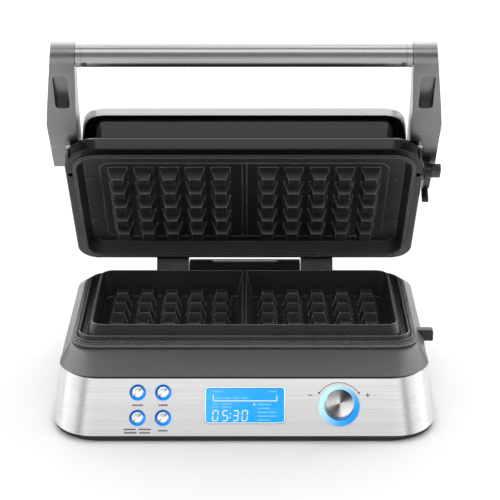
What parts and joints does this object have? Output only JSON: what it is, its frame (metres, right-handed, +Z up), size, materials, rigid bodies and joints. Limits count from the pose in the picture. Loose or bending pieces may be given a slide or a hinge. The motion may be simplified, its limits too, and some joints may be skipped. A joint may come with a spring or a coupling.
{
  "type": "waffle maker",
  "caption": "Countertop waffle maker with an opening lid and bar handle, toothed plates, a slanted stainless control panel with display, dial and push buttons",
  "frame": {"origin": "on the table, below the middle of the machine's overall box with the lid open", "axes": "+X to the right as seen by the user, +Z up, -Y towards the user and the control panel"},
  "size_m": [0.3895, 0.3226, 0.3516],
  "materials": {
    "stainless": "horizontal brushed",
    "black_gloss_plastic": "high gloss",
    "grey_plastic": "semi gloss",
    "black_plastic": "satin",
    "nonstick_cast_aluminium": "non-stick coating",
    "cast_metal": "satin die cast",
    "brushed_tube": "brushed along its length",
    "hinge_casting": "satin paint",
    "steel": "zinc plated",
    "sheathed_element": "annealed sheath",
    "sheet_steel": "galvanised",
    "sensor_brass": "plain",
    "fuse_ceramic": "matt",
    "circuit_board": "solder mask",
    "component_black": "moulded",
    "rubber": "matt",
    "knob_metal": "spun",
    "light_blue_ring": "translucent, lit blue",
    "dial_ring_light": "translucent, lit pale blue",
    "display_frame": "bright",
    "display_glass": "clear",
    "display_backlight": "lit blue"
  },
  "bodies": {
    "base": {"base_housing": "grey_plastic", "base_tray": "black_plastic", "button_light_rings": "light_blue_ring", "cable_gland": "rubber", "control_board": "circuit_board", "control_board_screws": "steel", "dial_encoder": "component_black", "dial_light_ring": "dial_ring_light", "display_bezel": "display_frame", "display_module": "display_backlight", "display_window": "display_glass", "filter_capacitors": "component_black", "friction_washers": "steel", "hinge_bracket": "hinge_casting", "hinge_bracket_screws": "steel", "hinge_pins": "steel", "latch_catch": "black_plastic", "lower_heat_shield": "sheet_steel", "lower_heating_element": "sheathed_element", "lower_plate": "nonstick_cast_aluminium", "lower_plate_screws": "steel", "lower_temperature_sensor": "sensor_brass", "power_board": "circuit_board", "power_board_screws": "steel", "relays": "component_black", "rubber_feet": "rubber", "stainless_wrap": "stainless", "tact_switches": "component_black", "terminal_block": "black_plastic", "thermal_fuse": "fuse_ceramic", "transformer": "component_black", "tray_screws": "steel"},
    "lid": {"lid_frame": "black_gloss_plastic", "lid_hood": "stainless", "upper_plate": "nonstick_cast_aluminium", "upper_heating_element": "sheathed_element", "upper_heat_shield": "sheet_steel", "upper_temperature_sensor": "sensor_brass", "handle_arm_left": "cast_metal", "handle_arm_right": "cast_metal", "handle_tube": "brushed_tube", "handle_tube_screws": "steel", "handle_arm_screws": "steel", "hinge_lug_left": "hinge_casting", "hinge_lug_right": "hinge_casting", "latch_mount": "black_plastic", "hinge_lug_screws": "steel", "upper_plate_screws": "steel"},
    "latch": {"latch_lever": "black_plastic"},
    "dial": {"dial_knob": "knob_metal", "dial_shaft": "steel"},
    "button_power": {"power_button": "knob_metal"},
    "button_menu": {"menu_button": "knob_metal"},
    "button_mode": {"mode_button": "knob_metal"},
    "button_restart": {"restart_button": "knob_metal"}
  },
  "joints": [
    {"name": "lid_hinge", "type": "hinge", "parent": "base", "child": "lid", "pos_m": [0, 0.1203, 0.0486], "axis": [-1, 0, 0], "range_deg": [-52.2, 43]},
    {"name": "latch_swing", "type": "hinge", "parent": "lid", "child": "latch", "pos_m": [0.185, 0.03481, 0.20351], "axis": [-1, 0, 0], "range_deg": [0, 31]},
    {"name": "dial_turn", "type": "hinge", "parent": "base", "child": "dial", "pos_m": [0.0898, -0.1445, 0.0295], "axis": [0, -0.8088, 0.5881], "range_deg": [-55, 55]},
    {"name": "power_press", "type": "slide", "parent": "base", "child": "button_power", "axis": [0, 0.8088, -0.5881], "range_m": [0, 0.0012], "stiffness_N_per_m": 500, "springref_m": -0.0004},
    {"name": "menu_press", "type": "slide", "parent": "base", "child": "button_menu", "axis": [0, 0.8088, -0.5881], "range_m": [0, 0.0012], "stiffness_N_per_m": 500, "springref_m": -0.0004},
    {"name": "mode_press", "type": "slide", "parent": "base", "child": "button_mode", "axis": [0, 0.8088, -0.5881], "range_m": [0, 0.0012], "stiffness_N_per_m": 500, "springref_m": -0.0004},
    {"name": "restart_press", "type": "slide", "parent": "base", "child": "button_restart", "axis": [0, 0.8088, -0.5881], "range_m": [0, 0.0012], "stiffness_N_per_m": 500, "springref_m": -0.0004}
  ]
}
